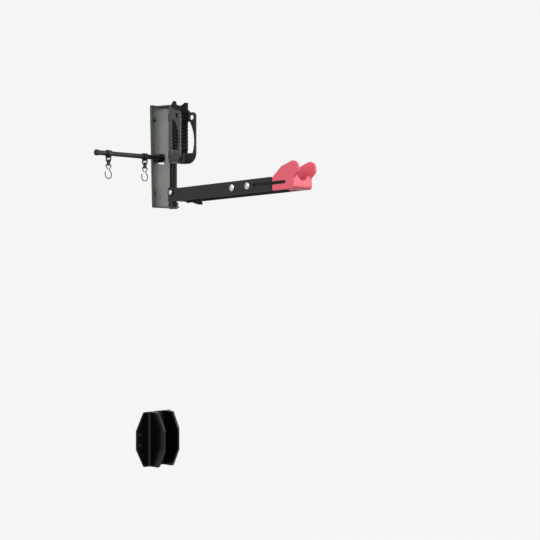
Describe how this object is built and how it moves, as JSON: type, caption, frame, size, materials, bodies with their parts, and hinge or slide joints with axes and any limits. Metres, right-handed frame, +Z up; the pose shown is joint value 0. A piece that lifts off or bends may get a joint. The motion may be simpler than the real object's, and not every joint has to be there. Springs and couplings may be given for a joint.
{
  "type": "swivel bike wall mount",
  "caption": "Wall bracket with a swivelling column, tyre cradle and fold-up arm with a sliding saddle for a bike wheel, a hook bar at the side and a tyre rest lower on the wall.",
  "frame": {"origin": "middle of the wall bracket's back face, which is also the centre of its bolt pattern", "axes": "+Z up along the wall, +Y into the wall, so that the arm reaches towards -Y; +X to the right of a person who faces the wall"},
  "size_m": [0.43, 0.7585, 1.412],
  "materials": {
    "bracket_grey": "satin grey-green powder coat",
    "dark_grey": "satin dark grey powder coat",
    "arm_grey": "satin charcoal powder coat",
    "black_steel": "satin black powder coat",
    "steel": "zinc-plated steel",
    "bright_steel": "polished chrome plate",
    "black_plastic": "moulded black nylon",
    "rubber": "matt black rubber",
    "red_plastic": "satin red moulding",
    "hook_steel": "satin black wire and swivel",
    "black_gloss": "glossy black moulding"
  },
  "bodies": {
    "wall": {"wall_bracket": "bracket_grey", "pivot_shaft": "steel", "shaft_nut": "black_steel", "thrust_washer": "black_plastic", "accessory_bar": "black_steel", "bar_end_cap": "black_plastic", "bar_screw": "steel", "rest_cup": "black_gloss", "rest_pad": "rubber"},
    "column": {"column_tube": "black_steel", "lower_bush": "black_plastic", "upper_bush": "black_plastic", "cradle_back": "dark_grey", "left_cheek": "dark_grey", "right_cheek": "dark_grey", "tyre_pad": "rubber", "lower_clamp": "black_plastic", "upper_clamp": "black_plastic", "clamp_screws": "steel", "arm_knuckle": "black_steel", "knuckle_screws": "steel", "fold_bolt": "bright_steel", "fold_nut": "steel", "fold_washers": "black_plastic", "fold_discs": "black_steel"},
    "arm": {"left_arm_plate": "arm_grey", "right_arm_plate": "arm_grey", "arm_web": "arm_grey", "stop_bar": "black_steel", "lever_pin": "black_steel", "lever_spacers": "steel", "clamp_bolts": "bright_steel", "clamp_nuts": "steel"},
    "lever": {"lock_lever": "black_steel"},
    "saddle": {"saddle": "red_plastic", "left_slide_bar": "black_steel", "right_slide_bar": "black_steel", "saddle_screws": "steel"},
    "inner_collar": {"inner_hook_collar": "black_plastic"},
    "inner_hook": {"inner_hook_swivel": "hook_steel", "inner_hook_wire": "hook_steel"},
    "outer_collar": {"outer_hook_collar": "black_plastic"},
    "outer_hook": {"outer_hook_swivel": "hook_steel", "outer_hook_wire": "hook_steel"}
  },
  "joints": [
    {"name": "swivel", "type": "hinge", "parent": "wall", "child": "column", "pos_m": [0, -0.065, 0], "axis": [0, 0, 1], "range_deg": [-40, 75]},
    {"name": "fold", "type": "hinge", "parent": "column", "child": "arm", "pos_m": [0, -0.104, -0.143], "axis": [-1, 0, 0], "range_deg": [0, 82]},
    {"name": "saddle_slide", "type": "slide", "parent": "arm", "child": "saddle", "axis": [0, -0.9993, 0.0366], "range_m": [0, 0.09]},
    {"name": "lever_pivot", "type": "hinge", "parent": "arm", "child": "lever", "pos_m": [0, -0.14485, -0.16552], "axis": [1, 0, 0], "range_deg": [-12, 0], "stiffness_Nm_per_rad": 0.6, "springref_deg": 14.32},
    {"name": "inner_hook_slide", "type": "slide", "parent": "wall", "child": "inner_collar", "axis": [1, 0, 0], "range_m": [-0.07, 0.026]},
    {"name": "inner_hook_turn", "type": "hinge", "parent": "inner_collar", "child": "inner_hook", "pos_m": [-0.112, -0.025, -0.0334], "axis": [0, 0, 1], "continuous": true},
    {"name": "outer_hook_slide", "type": "slide", "parent": "wall", "child": "outer_collar", "axis": [1, 0, 0], "range_m": [-0.035, 0.07]},
    {"name": "outer_hook_turn", "type": "hinge", "parent": "outer_collar", "child": "outer_hook", "pos_m": [-0.292, -0.025, -0.0334], "axis": [0, 0, 1], "continuous": true}
  ]
}
